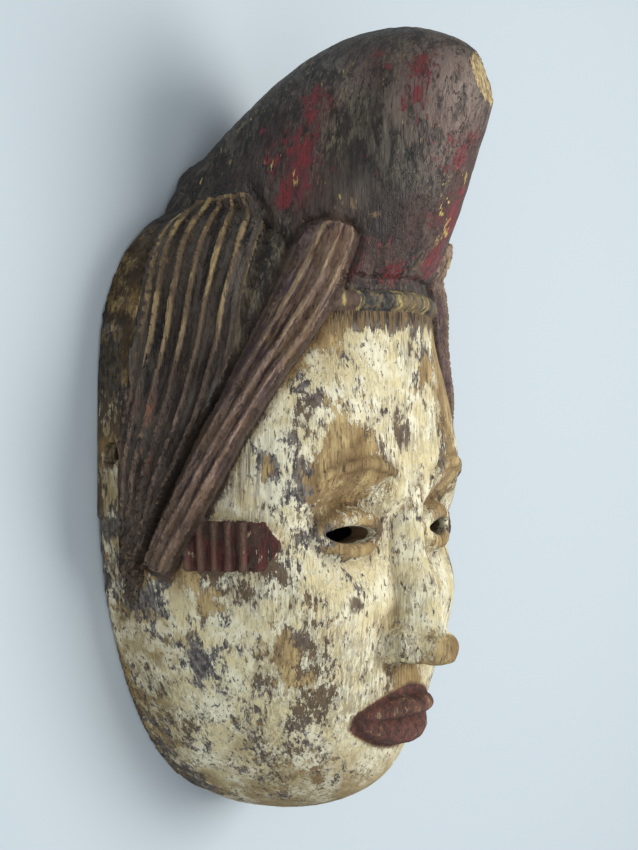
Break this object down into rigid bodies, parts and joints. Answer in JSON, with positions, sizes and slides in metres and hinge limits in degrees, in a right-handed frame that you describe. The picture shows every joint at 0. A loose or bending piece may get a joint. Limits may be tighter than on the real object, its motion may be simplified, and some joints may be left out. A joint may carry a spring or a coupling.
{
  "type": "carved face mask",
  "caption": "Hollow carved wooden face mask with a tall rounded crest, fluted locks at the temples, a headband and a calm face, lying on its back.",
  "frame": {"origin": "under the middle of the mask's bounding box, on the flat back of the rim", "axes": "+Z out of the face, +Y from the chin to the crest, +X to the face's left cheek"},
  "size_m": [0.1738, 0.32, 0.1287],
  "materials": {
    "painted_wood": "worn mineral paint over carved wood"
  },
  "bodies": {
    "root": {"mask": "painted_wood"}
  },
  "joints": []
}
